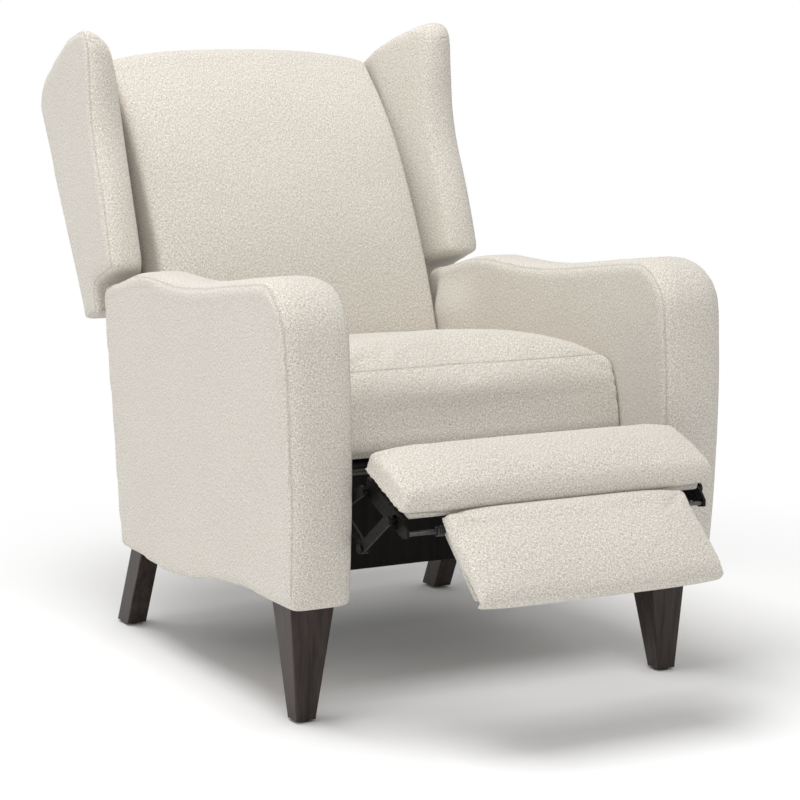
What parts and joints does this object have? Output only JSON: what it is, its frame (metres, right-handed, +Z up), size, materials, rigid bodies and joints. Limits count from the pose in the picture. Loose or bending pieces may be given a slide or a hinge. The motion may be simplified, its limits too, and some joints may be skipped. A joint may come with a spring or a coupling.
{
  "type": "recliner",
  "caption": "Wing-back recliner in pale woven fabric on tapered dark wood legs, with a reclining back and a fold-out padded footrest on a steel linkage.",
  "frame": {"origin": "on the floor, under the middle of the chair with its footrest out", "axes": "+Z up, the chair's front faces -Y, +X to the right of someone facing the chair"},
  "size_m": [0.757, 1.3294, 1.0247],
  "materials": {
    "fabric": "heathered plain weave",
    "wood": "dark stained, satin",
    "frame_wood": "plain hardwood",
    "black_wood": "black stained",
    "steel": "black, satin",
    "bright_steel": "zinc plated",
    "webbing": "woven elastic",
    "dust_cloth": "thin non-woven",
    "glide": "matte"
  },
  "bodies": {
    "chair_base": {"arm_right": "fabric", "arm_board_right": "frame_wood", "arm_left": "fabric", "arm_board_left": "frame_wood", "leg_front_right": "wood", "leg_rear_right": "wood", "leg_front_left": "wood", "leg_rear_left": "wood", "leg_glides": "glide", "leg_bolts": "bright_steel", "seat_rail_front": "frame_wood", "seat_rail_rear": "frame_wood", "seat_rail_right": "frame_wood", "seat_rail_left": "frame_wood", "seat_rail_cross": "frame_wood", "seat_apron": "fabric", "front_rail": "black_wood", "rear_rail": "frame_wood", "seat_webbing": "webbing", "dust_cover": "dust_cloth", "seat_cushion": "fabric", "hinge_plate_right": "steel", "linkage_plate_right": "steel", "hinge_plate_left": "steel", "linkage_plate_left": "steel"},
    "back": {"back_cushion": "fabric", "back_post_right": "frame_wood", "wing_right": "fabric", "back_bracket_right": "steel", "back_post_left": "frame_wood", "wing_left": "fabric", "back_bracket_left": "steel", "back_rail_top": "frame_wood", "back_rail_lower": "frame_wood", "back_panel": "fabric", "back_webbing": "webbing"},
    "crank_bars": {"link_crank_right": "steel", "link_crank_left": "steel", "cross_tube": "steel"},
    "slider_bars": {"link_slider_right": "steel", "link_slider_left": "steel"},
    "lifter_bars": {"link_lifter_right": "steel", "link_lifter_left": "steel"},
    "carrier_bars": {"link_carrier_right": "steel", "link_carrier_left": "steel"},
    "tilter_bars": {"link_tilter_right": "steel", "link_tilter_left": "steel"},
    "upper_pad": {"pad_board": "fabric", "pad_cushion": "fabric", "leaf_hinge_rod": "bright_steel", "leaf_springs": "bright_steel", "pad_bracket_right": "steel", "pad_bracket_left": "steel"},
    "lower_pad": {"leaf_board": "fabric", "leaf_cushion": "fabric", "leaf_bracket_right": "steel", "leaf_bracket_left": "steel"}
  },
  "joints": [
    {"name": "footrest_drive", "type": "hinge", "parent": "chair_base", "child": "crank_bars", "pos_m": [0, -0.10624, 0.363], "axis": [1, 0, 0], "range_deg": [0, 55]},
    {"name": "slider_pivot", "type": "hinge", "parent": "crank_bars", "child": "slider_bars", "pos_m": [0, -0.18557, 0.31903], "axis": [1, 0, 0], "range_deg": [-110, 0]},
    {"name": "lifter_pivot", "type": "hinge", "parent": "crank_bars", "child": "lifter_bars", "pos_m": [0, -0.2649, 0.27506], "axis": [1, 0, 0], "range_deg": [-110, 0]},
    {"name": "carrier_pivot", "type": "hinge", "parent": "slider_bars", "child": "carrier_bars", "pos_m": [0, -0.26638, 0.3602], "axis": [1, 0, 0], "range_deg": [0, 110]},
    {"name": "tilter_pivot", "type": "hinge", "parent": "carrier_bars", "child": "tilter_bars", "pos_m": [0, -0.42504, 0.27226], "axis": [1, 0, 0], "range_deg": [-105.5, 0]},
    {"name": "upper_pad_pivot", "type": "hinge", "parent": "lifter_bars", "child": "upper_pad", "pos_m": [0, -0.42652, 0.35741], "axis": [1, 0, 0], "range_deg": [0, 122.1]},
    {"name": "lower_pad_hinge", "type": "hinge", "parent": "upper_pad", "child": "lower_pad", "pos_m": [0, -0.53514, 0.3113], "axis": [1, 0, 0], "range_deg": [0, 159.1]},
    {"name": "back_recline", "type": "hinge", "parent": "chair_base", "child": "back", "pos_m": [0, 0.33956, 0.48504], "axis": [1, 0, 0], "range_deg": [0, 16]}
  ],
  "couplings": [
    {"joint": "slider_pivot", "follows": "footrest_drive", "ratio": -2},
    {"joint": "lifter_pivot", "follows": "footrest_drive", "ratio": -2},
    {"joint": "carrier_pivot", "follows": "footrest_drive", "ratio": 2},
    {"joint": "tilter_pivot", "follows": "footrest_drive", "ratio": -1.9164},
    {"joint": "upper_pad_pivot", "follows": "footrest_drive", "ratio": 2.2182},
    {"joint": "lower_pad_hinge", "follows": "footrest_drive", "ratio": 2.8909}
  ]
}
